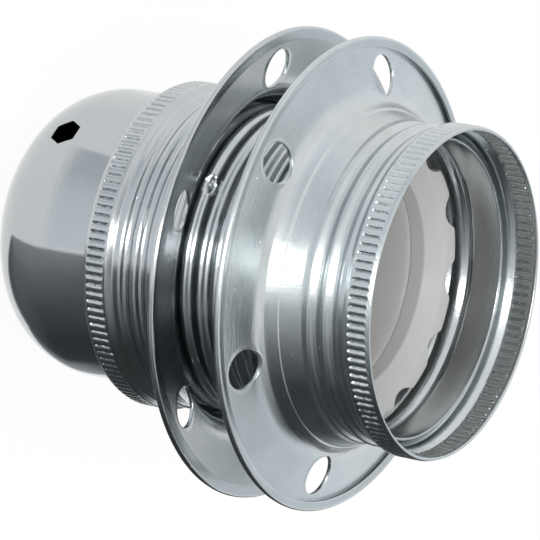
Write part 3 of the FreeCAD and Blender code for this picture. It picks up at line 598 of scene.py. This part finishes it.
def make_collar():
    """The collar's section at each angle, its outer part held back to the scallop's edge.

    Where a point is held back, its top is lowered by a third of the way, so the land falls off
    towards each scallop. The thread keeps its own stand beyond the plain radius.
    """
    skin = Skin()
    angles = np.linspace(0, 2 * math.pi, 480, endpoint=False)[None]
    limit = scoop_radius(angles)
    radius = np.broadcast_to(collar_line[:, :1], (len(collar_line), angles.size)).copy()
    height = np.broadcast_to(collar_line[:, 1:], radius.shape).copy()
    stand = np.where(limit > COLLAR_RADIUS - 0.05, radius - COLLAR_RADIUS, 0)
    allowed = np.where(radius > COLLAR_RADIUS + 0.01, limit + stand, limit)
    beyond = np.maximum(radius - allowed, 0)
    radius = radius - beyond
    on_top = height > COLLAR_TOP - 1.2
    height = np.where(on_top, height - 0.33 * beyond, height)
    rows = skin.add(around(radius, height, angles))
    for i in range(len(rows)):
        skin.join(rows[i - 1], rows[i])
    return skin.build("collar_pressing", 50)


collar = dress(make_collar(), "collar_body", "porcelain", "porcelain_collar")

# %% [markdown]
# ## Pieces that keep their solid's shape
#
# The insert and the small brass and steel pieces already have their true form as solids. Each
# gets a copy whose flat faces are merged again and whose sharp edges are rounded, because a real
# edge is never sharp and it is the rounding that catches the light.


# %% Softened copies of solids
def softened(node, width, slot_name):
    """A copy of a holder node with every edge sharper than 40 degrees rounded by width in mm."""
    work = bmesh.new()
    work.from_mesh(frame["nodes"][node].data)
    bmesh.ops.remove_doubles(work, verts=work.verts, dist=0.001 * MM)
    bmesh.ops.dissolve_limit(work, angle_limit=math.radians(0.5), verts=work.verts, edges=work.edges)
    sharp = [e for e in work.edges if e.calc_face_angle(0.0) > math.radians(40)]
    bmesh.ops.bevel(work, geom=sharp, offset=width * MM, segments=2, profile=0.5, affect="EDGES",
                    clamp_overlap=True)
    bmesh.ops.recalc_face_normals(work, faces=work.faces)
    mesh = bpy.data.meshes.new(node + "_soft")
    work.to_mesh(mesh)
    work.free()
    mesh.shade_smooth()
    mesh.set_sharp_from_angle(angle=math.radians(35))
    piece = bpy.data.objects.new(node + "_soft", mesh)
    bpy.context.scene.collection.objects.link(piece)
    return dress(piece, "holder", slot_name, node)


slots = {row["node"]: row["material_slot"] for row in frame["record"]["subparts"]}
insert = softened("porcelain_insert", 0.22, "porcelain")
small_pieces = [softened(node, 0.07, slots[node]) for node in (
    "entry_bush", "bush_nut", "grub_screw", "earth_tag", "earth_screw", "shell_screw_1", "shell_screw_2",
    "centre_contact", "contact_screw", "neutral_terminal", "neutral_wire_screw", "line_terminal",
    "line_wire_screw",
)]
print("softened pieces:", len(small_pieces) + 1)

# %% [markdown]
# ## The lamp's screw shell
#
# The shell is thin plated brass rolled to the lamp's own thread. It stands on the floor of the
# insert, and its hollow shows when the holder is seen from the mouth. Its floor is cut away where
# the centre contact passes, with some air round it, and the frame says where that is.

# %% The screw shell
SHELL_SHEET = 0.35
SHELL_PITCH = 3.63
SHELL_CREST = 13.7
SHELL_ROOT = 12.55
INSERT_FLOOR = 26.2
LEAD_IN = 1.7  # plain wall above the last crest
shell_depth = SHELL_CREST - SHELL_ROOT
shell_over = (SHELL_PITCH / 2 - shell_depth) / 2
shell_bend = shell_over / (1 / math.cos(math.radians(45)) - 1)
shell_run = shell_depth + shell_over
shell_heights = INSERT_FLOOR + 3.6 + np.arange(6) * SHELL_PITCH / 2
shell_corners = [(7.0, INSERT_FLOOR, 0), (SHELL_ROOT, INSERT_FLOOR, 0.7),
                 (SHELL_ROOT, shell_heights[0] - shell_run, shell_bend)]
shell_corners += [(SHELL_ROOT - shell_over if i % 2 else SHELL_CREST + shell_over, h, shell_bend)
                  for i, h in enumerate(shell_heights)]
shell_top = shell_heights[-1] + shell_run
shell_corners += [(SHELL_CREST, shell_top, shell_bend), (SHELL_CREST, shell_top + LEAD_IN, 0)]
shell_line, shell_normals = bent_line(shell_corners, per_arc=7)
shell_inner = shell_line + shell_normals * SHELL_SHEET
shell_loop = np.concatenate([shell_line, round_end(shell_line[-1], shell_inner[-1], 3),
                             shell_inner[::-1], round_end(shell_inner[0], shell_line[0], 3)])
shell = dress(lathe("shell_of_lamp", shell_loop, PLAIN[::2]), "holder", "brass", "screw_shell")


def cut_box(piece, low, high):
    """Take a box, given by two corners in metres, out of a piece for good."""
    block = bmesh.new()
    bmesh.ops.create_cube(block, size=1.0)
    low, high = Vector(low), Vector(high)
    for point in block.verts:
        point.co = (low + high) / 2 + Vector(a * b for a, b in zip(point.co, high - low))
    mesh = bpy.data.meshes.new("cutter")
    block.to_mesh(mesh)
    block.free()
    cutter = bpy.data.objects.new("cutter", mesh)
    bpy.context.scene.collection.objects.link(cutter)
    change = piece.modifiers.new("way", "BOOLEAN")
    change.operation = "DIFFERENCE"
    change.solver = "EXACT"
    change.object = cutter
    shape = piece.evaluated_get(bpy.context.evaluated_depsgraph_get())
    piece.data = bpy.data.meshes.new_from_object(shape)
    piece.modifiers.clear()
    bpy.data.objects.remove(cutter)


contact_low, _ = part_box("contact_screw")
strip_low, strip_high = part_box("centre_contact")
air = 0.4 * MM
cut_box(shell, (contact_low[0] - air, strip_low[1] - air, (INSERT_FLOOR - 1) * MM),
        (-3.5 * MM, strip_high[1] + air, (INSERT_FLOOR + 1.5) * MM))
print("shell faces after the cut:", len(shell.data.polygons))

# %% [markdown]
# ## Finishes
#
# Bright zinc plating is a mirror that is not quite clean. Three things break its reflection up:
# slow clouds in colour and gloss, fine streaks that run round the piece because it was rolled or
# spun, and a grain finer than a tenth of a millimetre. The streaks come from a noise that changes
# forty times faster with radius plus height than round the axis. A few specks stand for dust and scratches.
# All of it is one node group, and each metal sets its own strengths. Porcelain is white clay with
# a thin, slightly uneven glaze and, now and then, a dark speck of iron.


# %% Helpers for node groups
def new_group(name, inputs, outputs):
    """An empty shader group with its sockets."""
    group = bpy.data.node_groups.new(name, "ShaderNodeTree")
    for label, kind, value in inputs:
        socket = group.interface.new_socket(name=label, in_out="INPUT", socket_type=kind)
        socket.default_value = value
    for label, kind in outputs:
        group.interface.new_socket(name=label, in_out="OUTPUT", socket_type=kind)
    return group, group.nodes.new("NodeGroupInput"), group.nodes.new("NodeGroupOutput")


def math_node(tree, operation, *values):
    """A math node whose inputs are numbers or sockets; gives its output socket."""
    node = tree.nodes.new("ShaderNodeMath")
    node.operation = operation
    for socket, value in zip(node.inputs, values):
        if isinstance(value, (int, float)):
            socket.default_value = value
        else:
            tree.links.new(value, socket)
    return node.outputs[0]


def noise(tree, vector, scale, detail):
    """A noise texture in object space; gives its factor, which lies about 0.5."""
    node = tree.nodes.new("ShaderNodeTexNoise")
    node.inputs["Detail"].default_value = detail
    tree.links.new(vector, node.inputs["Vector"])
    if isinstance(scale, (int, float)):
        node.inputs["Scale"].default_value = scale
    else:
        tree.links.new(scale, node.inputs["Scale"])
    return node.outputs["Fac"]


print("helpers for groups:", new_group.__name__, math_node.__name__, noise.__name__)

# %% Streaks and specks
CLOUD_SCALE = 170.0
STREAK_SCALE = 260.0
STREAK_STRETCH = 40.0
SPECK_SCALE = 620.0


def round_the_axis(group, place):
    """The place with its height swapped for radius plus height, stretched."""
    axes = group.nodes.new("ShaderNodeSeparateXYZ")
    group.links.new(place, axes.inputs[0])
    level = group.nodes.new("ShaderNodeCombineXYZ")
    turned = group.nodes.new("ShaderNodeCombineXYZ")
    for label in "XY":
        group.links.new(axes.outputs[label], level.inputs[label])
        group.links.new(axes.outputs[label], turned.inputs[label])
    radius = group.nodes.new("ShaderNodeVectorMath")
    radius.operation = "LENGTH"
    group.links.new(level.outputs[0], radius.inputs[0])
    across = math_node(group, "ADD", radius.outputs["Value"], axes.outputs["Z"])
    group.links.new(math_node(group, "MULTIPLY", across, STREAK_STRETCH), turned.inputs["Z"])
    return turned.outputs[0]


def specks(group, place, share):
    """A mask of small round spots, in a share of the cells of a Voronoi pattern."""
    cells = group.nodes.new("ShaderNodeTexVoronoi")
    cells.inputs["Scale"].default_value = SPECK_SCALE
    group.links.new(place, cells.inputs["Vector"])
    parts = group.nodes.new("ShaderNodeSeparateColor")
    group.links.new(cells.outputs["Color"], parts.inputs["Color"])
    reach = math_node(group, "MULTIPLY", parts.outputs["Green"], 0.11)
    chosen = math_node(group, "LESS_THAN", parts.outputs["Red"], share)
    near = math_node(group, "LESS_THAN", cells.outputs["Distance"], reach)
    return math_node(group, "MULTIPLY", chosen, near)


def mixed(group, kind, factor, first, second):
    """A colour mix of two sockets, by a number or a mask."""
    node = group.nodes.new("ShaderNodeMix")
    node.data_type = "RGBA"
    node.blend_type = kind
    if isinstance(factor, float):
        node.inputs["Factor"].default_value = factor
    else:
        group.links.new(factor, node.inputs["Factor"])
    group.links.new(first, node.inputs["A"])
    group.links.new(second, node.inputs["B"])
    return node.outputs["Result"]


print("a streak is", STREAK_STRETCH, "times longer round the axis than across")


# %% The group itself
def make_grain():
    """Clouds, streaks, grain and specks, worked out from the place on the object in metres.

    With slow = (cloud - 0.5) times its depth and fine = (streak - 0.5) times its depth, the
    colour is the base times 1 + slow + 0.35 fine, and the roughness is the gloss times
    1 + 2 slow + 0.35 fine. A speck puts in its own colour and 0.3 more roughness. The bump's
    height is the grain times its depth plus 2 fine.
    """
    group, given, result = new_group(
        "sheet_grain",
        [("Base", "NodeSocketColor", (0.55, 0.57, 0.59, 1)), ("Gloss", "NodeSocketFloat", 0.15),
         ("Cloud Depth", "NodeSocketFloat", 0.12), ("Streak Depth", "NodeSocketFloat", 0.3),
         ("Grain Size", "NodeSocketFloat", 5000.0), ("Grain Depth", "NodeSocketFloat", 0.05),
         ("Speck Color", "NodeSocketColor", (0.8, 0.82, 0.84, 1)), ("Speck Share", "NodeSocketFloat", 0.1)],
        [("Color", "NodeSocketColor"), ("Roughness", "NodeSocketFloat"), ("Normal", "NodeSocketVector")],
    )
    wanted = given.outputs

    def work(operation, *values):
        return math_node(group, operation, *values)

    place = group.nodes.new("ShaderNodeTexCoord").outputs["Object"]
    cloud = noise(group, place, CLOUD_SCALE, 3)
    streak = noise(group, round_the_axis(group, place), STREAK_SCALE, 3)
    grain = noise(group, place, wanted["Grain Size"], 2)
    slow = work("MULTIPLY", work("SUBTRACT", cloud, 0.5), wanted["Cloud Depth"])
    fine = work("MULTIPLY", work("SUBTRACT", streak, 0.5), wanted["Streak Depth"])
    depth = work("ADD", work("ADD", slow, 1.0), work("MULTIPLY", fine, 0.35))
    speck = specks(group, place, wanted["Speck Share"])
    tone = mixed(group, "MULTIPLY", 1.0, wanted["Base"], depth)
    dotted = mixed(group, "MIX", speck, tone, wanted["Speck Color"])
    group.links.new(dotted, result.inputs["Color"])
    rough = work("MULTIPLY", wanted["Gloss"], work("ADD", depth, slow))
    group.links.new(work("ADD", rough, work("MULTIPLY", speck, 0.3)), result.inputs["Roughness"])
    bump = group.nodes.new("ShaderNodeBump")
    bump.inputs["Distance"].default_value = 0.02 * MM
    height = work("ADD", work("MULTIPLY", grain, wanted["Grain Depth"]), work("MULTIPLY", fine, 2.0))
    group.links.new(height, bump.inputs["Height"])
    group.links.new(bump.outputs["Normal"], result.inputs["Normal"])
    return group


GRAIN = make_grain()
print("shared group:", GRAIN.name, "with", len(GRAIN.nodes), "nodes")


# %% The materials
def finish_of(name, metallic, base, gloss, coat=0.0, **values):
    """A Principled surface whose colour, gloss and grain come from the shared group."""
    material = bpy.data.materials.new(name)
    material.use_nodes = True
    nodes, links = material.node_tree.nodes, material.node_tree.links
    shader = nodes["Principled BSDF"]
    shader.inputs["Metallic"].default_value = metallic
    shader.inputs["Coat Weight"].default_value = coat
    shader.inputs["Coat Roughness"].default_value = 0.12
    grain = nodes.new("ShaderNodeGroup")
    grain.node_tree = GRAIN
    grain.inputs["Base"].default_value = (*base, 1)
    grain.inputs["Gloss"].default_value = gloss
    for label, value in values.items():
        grain.inputs[label.replace("_", " ").title()].default_value = value
    links.new(grain.outputs["Color"], shader.inputs["Base Color"])
    links.new(grain.outputs["Roughness"], shader.inputs["Roughness"])
    links.new(grain.outputs["Normal"], shader.inputs["Normal"])
    return material


cap_zinc = finish_of("cap_zinc", 1.0, (0.5, 0.525, 0.535), 0.09, cloud_depth=0.12,
                     streak_depth=0.10, grain_depth=0.12, speck_share=0.05)
bright_zinc = finish_of("bright_zinc", 1.0, (0.53, 0.555, 0.565), 0.16, cloud_depth=0.2, streak_depth=0.4,
                        grain_depth=0.2)
satin_zinc = finish_of("satin_zinc", 1.0, (0.58, 0.615, 0.62), 0.24, cloud_depth=0.3, streak_depth=0.4,
                       grain_depth=0.7, speck_share=0.15)
plated_brass = finish_of("plated_brass", 1.0, (0.72, 0.71, 0.68), 0.4, cloud_depth=0.3, grain_depth=0.1)
brass = finish_of("bare_brass", 1.0, (0.72, 0.55, 0.28), 0.25, cloud_depth=0.3, grain_depth=0.1)
screw_zinc = finish_of("screw_zinc", 1.0, (0.5, 0.51, 0.53), 0.22, cloud_depth=0.2, grain_depth=0.1)
porcelain = finish_of("white_porcelain", 0.0, (0.66, 0.655, 0.645), 0.45, coat=0.12, cloud_depth=0.08,
                      streak_depth=0.12, grain_size=2500.0, grain_depth=0.15, speck_share=0.03,
                      speck_color=(0.10, 0.09, 0.08, 1))


def paint(piece, material):
    piece.data.materials.clear()
    piece.data.materials.append(material)


by_slot = {"zinc_steel": bright_zinc, "screw_steel": screw_zinc, "brass": brass, "porcelain": porcelain}
for node, piece in frame["nodes"].items():
    paint(piece, by_slot[slots[node]])
for piece in small_pieces:
    paint(piece, by_slot[slots[piece.name.removesuffix("_soft")]])
for piece, material in ((front_ring, satin_zinc), (rear_ring, bright_zinc), (jacket, bright_zinc),
                        (cap, cap_zinc), (collar, porcelain), (insert, porcelain), (shell, plated_brass)):
    paint(piece, material)
print("materials:", [m.name for m in bpy.data.materials])

# %% [markdown]
# ## Camera
#
# A long lens from 60 cm away, rolled so that the holder lies across the picture, as it does in
# the photograph. Its place and its three directions are written for a holder that is not turned
# about its own axis; TURN then carries the camera round to where the photograph shows the
# hexagonal hole and the pip.

# %% The camera
PICTURE_PIXELS = 540.0
LENS_PIXELS = 4806.21  # the lens's length, measured in pixels of the picture
SENSOR = 36.0
camera_data = bpy.data.cameras.new("studio_camera")
camera_data.sensor_width = SENSOR
camera_data.lens = LENS_PIXELS * SENSOR / PICTURE_PIXELS
camera_data.clip_start = 0.01
camera = bpy.data.objects.new("studio_camera", camera_data)
bpy.context.scene.collection.objects.link(camera)
bpy.context.scene.camera = camera
TURN = math.radians(-136.9)
right = np.array([0.1332, -0.5168, 0.84566])
down = np.array([-0.9878, 0.0, 0.15556])
ahead = np.array([-0.0804, -0.8561, -0.51055])
spin = np.array([[math.cos(TURN), -math.sin(TURN), 0], [math.sin(TURN), math.cos(TURN), 0], [0, 0, 1]])
axes = np.stack([spin @ right, -(spin @ down), -(spin @ ahead)], 1)
spot = spin @ np.array([47.5, 518.29, 298.67]) + np.array([0, 0, FRONT_FLANGE])
pose = np.eye(4)
pose[:3, :3] = axes
pose[:3, 3] = spot * MM
camera.matrix_world = Matrix(pose.tolist())
print("camera at", np.round(spot, 1), "mm")

# %% [markdown]
# ## Studio
#
# Shiny metal shows its surroundings, so the light is built for its reflections. The room and the
# floor are white. The floor is seen mostly by its own pale glow, with a share of plain paper that
# keeps the shadow. A tall soft box beside the camera draws the highlight, and five toned cards
# stand for the darker parts of a real studio. They only show in reflections: they take no light
# from the object and hide nothing. Their tone changes along their length, as a studio's corners do.

# %% White room and pale floor
bpy.context.scene.view_settings.view_transform = "Standard"
world = bpy.data.worlds.new("white_room")
bpy.context.scene.world = world
world.use_nodes = True


def seen_directly(tree, low, high):
    """A value that is high where the camera or a mirror looks, and low for soft light."""
    ray = tree.nodes.new("ShaderNodeLightPath")
    either = tree.nodes.new("ShaderNodeMath")
    either.operation = "MAXIMUM"
    tree.links.new(ray.outputs["Is Camera Ray"], either.inputs[0])
    tree.links.new(ray.outputs["Is Glossy Ray"], either.inputs[1])
    any_of = tree.nodes.new("ShaderNodeMath")
    any_of.operation = "MAXIMUM"
    tree.links.new(either.outputs[0], any_of.inputs[0])
    tree.links.new(ray.outputs["Is Transmission Ray"], any_of.inputs[1])
    level = tree.nodes.new("ShaderNodeMapRange")
    level.inputs["To Min"].default_value = low
    level.inputs["To Max"].default_value = high
    tree.links.new(any_of.outputs[0], level.inputs["Value"])
    return level.outputs["Result"]


room = world.node_tree.nodes["Background"]
room.inputs["Color"].default_value = (1, 1, 1, 1)
world.node_tree.links.new(seen_directly(world.node_tree, 0.7, 1.0), room.inputs["Strength"])


def stage_sheet(name, corners):
    """A flat sheet of the stage through corners given in metres."""
    mesh = bpy.data.meshes.new(name)
    mesh.from_pydata(corners, [], [tuple(range(len(corners)))])
    sheet = bpy.data.objects.new(name, mesh)
    bpy.context.scene.collection.objects.link(sheet)
    return sheet


floor = stage_sheet("floor", [(-3, -3, 0), (3, -3, 0), (3, 3, 0), (-3, 3, 0)])
pale = bpy.data.materials.new("pale_floor")
pale.use_nodes = True
tree = pale.node_tree
paper = tree.nodes["Principled BSDF"]
paper.inputs["Base Color"].default_value = (0.9, 0.9, 0.9, 1)
paper.inputs["Roughness"].default_value = 0.9
glow = tree.nodes.new("ShaderNodeEmission")
glow.inputs["Color"].default_value = (1, 1, 1, 1)
glow.inputs["Strength"].default_value = 1.04
blend = tree.nodes.new("ShaderNodeMixShader")
tree.links.new(seen_directly(tree, 0.0, 0.88), blend.inputs["Fac"])
tree.links.new(paper.outputs[0], blend.inputs[1])
tree.links.new(glow.outputs[0], blend.inputs[2])
tree.links.new(blend.outputs[0], tree.nodes["Material Output"].inputs["Surface"])
floor.data.materials.append(pale)
print("floor is", round(floor.dimensions.x, 1), "m wide")


# %% How a toned card is made
def round_about(distance, azimuth, height=0.0):
    """A place on the stage, by distance from the axis and direction from the upper side."""
    angle = TURN + math.radians(azimuth)
    return (distance * math.cos(angle), distance * math.sin(angle), height)


COOL_TINT = (0.94, 0.99, 1.04, 1.0)
toned = bpy.data.materials.new("toned_card")
toned.use_nodes = True
surface = toned.node_tree.nodes["Principled BSDF"]
surface.inputs["Base Color"].default_value = (0, 0, 0, 1)
surface.inputs["Specular IOR Level"].default_value = 0.0
surface.inputs["Emission Strength"].default_value = 1.0
shade = toned.node_tree.nodes.new("ShaderNodeAttribute")
shade.attribute_name = "tone"
toned.node_tree.links.new(shade.outputs["Color"], surface.inputs["Emission Color"])


def toned_card(name, rows, tones):
    """A card through rows of points, with a tone at each point; rows share their length."""
    deep, wide = len(rows), len(rows[0])
    faces = [(r * wide + i, r * wide + i + 1, (r + 1) * wide + i + 1, (r + 1) * wide + i)
             for r in range(deep - 1) for i in range(wide - 1)]
    mesh = bpy.data.meshes.new(name)
    mesh.from_pydata([point for row in rows for point in row], [], faces)
    level = mesh.attributes.new("tone", "FLOAT_COLOR", "POINT")
    colours = np.asarray(tones).reshape(-1, 1) * np.array(COOL_TINT)
    level.data.foreach_set("color", colours.astype(np.float32).ravel())
    card = bpy.data.objects.new(name, mesh)
    bpy.context.scene.collection.objects.link(card)
    mesh.materials.append(toned)
    card.visible_camera = False
    card.visible_diffuse = False
    card.visible_shadow = False
    card.visible_transmission = False
    print(f"{name}: {deep} rows of {wide} points")


# %% The cards on the floor
CARD_LIFT = 0.0004


def floor_rows(rows):
    """Rows of floor points and tones, one row per distance, each with its own stops."""
    share = np.linspace(0, 1, 37)
    places, levels = [], []
    for distance, stops in rows:
        first, last = stops[0][0], stops[-1][0]
        directions = first + share * (last - first)
        places.append([round_about(distance, a, CARD_LIFT) for a in directions])
        levels.append(np.interp(directions, *zip(*stops)))
    return places, np.stack(levels)


# Distance from the axis in metres, then stops of (direction in degrees, tone). The dark card
# starts at a point under the dome's edge and grows lighter towards its two long sides.
dark_rows = [
    (0.0200, [(97.6, 0.36), (111, 0.20), (137, 0.13), (150, 0.13), (156, 0.5)]),
    (0.0320, [(100.8, 0.36), (120, 0.20), (140, 0.10), (165, 0.055), (186, 0.06), (192, 0.3), (208, 0.45)]),
    (0.0460, [(102.4, 0.36), (118, 0.20), (134, 0.12), (162, 0.05), (200, 0.055), (208, 0.4)]),
    (0.0560, [(103.0, 0.20), (112, 0.12), (134, 0.07), (162, 0.045), (205, 0.05), (215, 0.4)]),
    (0.1000, [(104.4, 0.20), (112, 0.12), (134, 0.06), (162, 0.04), (225, 0.05), (236, 0.4)]),
    (0.1600, [(104.8, 0.24), (114, 0.14), (134, 0.07), (162, 0.04), (228, 0.05), (238, 0.4)]),
    (0.2500, [(105.0, 0.70), (118, 0.50), (128, 0.40), (140, 0.20), (162, 0.05), (230, 0.06), (240, 0.4)]),
    (1.2000, [(105.9, 0.70), (118, 0.52), (128, 0.42), (140, 0.22), (162, 0.05), (235, 0.06), (246, 0.4)]),
]
places, tones = floor_rows(dark_rows)
tip = [round_about(0.0177, 96.5, CARD_LIFT)] * len(tones[0])
toned_card("floor_card", [tip] + places, np.concatenate([tones[:1], tones]))
grey = [(36, 0.66), (50, 0.68), (66, 0.86), (100, 0.93)]
pale_grey = [(36, 0.93), (100, 0.95)]
dim = [(8, 0.97), (30, 0.8), (64, 0.74), (84, 0.95), (100, 0.95)]
toned_card("floor_grey", *floor_rows([
    (0.039, grey), (0.07, grey), (0.1, pale_grey), (0.3, dim), (1.3, dim),
]))


# %% The upright cards
def upright_card(name, distance, stops, rows):
    """A card that stands round the axis, through points every 3 degrees.

    Each row is (height, share, base), and its tones are share times the stops' tones plus base.
    """
    directions = np.arange(stops[0][0], stops[-1][0] + 1, 3.0)
    tones = np.interp(directions, *zip(*stops))
    toned_card(name, [[round_about(distance, a, height) for a in directions] for height, _, _ in rows],
               np.stack([tones * share + base for _, share, base in rows]))


dark_stops = [(106, 0.8), (114, 0.52), (122, 0.4), (130, 0.3), (140, 0.18), (152, 0.1), (163, 0.05),
              (211, 0.05), (222, 0.45)]
upright_card("standing_card", 1.2, dark_stops,
             [(0.0, 1, 0), (0.9, 1, 0), (1.2, 0.7, 0.2), (1.6, 0.4, 0.4), (2.4, 0.2, 0.7)])
upright_card("high_card", 1.25, [(216, 0.0), (240, 1.0), (276, 1.0), (306, 0.0)],
             [(0.3, 0, 1), (0.6, -0.12, 1), (0.9, -0.26, 1), (1.3, -0.36, 1), (2.6, -0.4, 1)])
upright_card("low_card", 1.3, [(-6, 0.0), (15, 1.0), (57, 1.0), (75, 0.0)],
             [(0.0, -0.2, 1), (0.4, -0.2, 1), (0.8, 0, 1)])

# %% The soft box
lamp_data = bpy.data.lights.new("soft_box", "AREA")
lamp_data.shape = "RECTANGLE"
lamp_data.size = 0.085
lamp_data.size_y = 0.55
lamp_data.energy = 1.1
lamp = bpy.data.objects.new("soft_box", lamp_data)
bpy.context.scene.collection.objects.link(lamp)
lamp.location = round_about(0.42, 86.0, 0.30)
middle_of_holder = Vector((0, 0, 0.045))
lamp.rotation_euler = (middle_of_holder - lamp.location).to_track_quat("-Z", "Y").to_euler()
lamp.visible_camera = False
print("soft box", lamp_data.size, "by", lamp_data.size_y, "m,", round(lamp_data.energy, 2), "W")
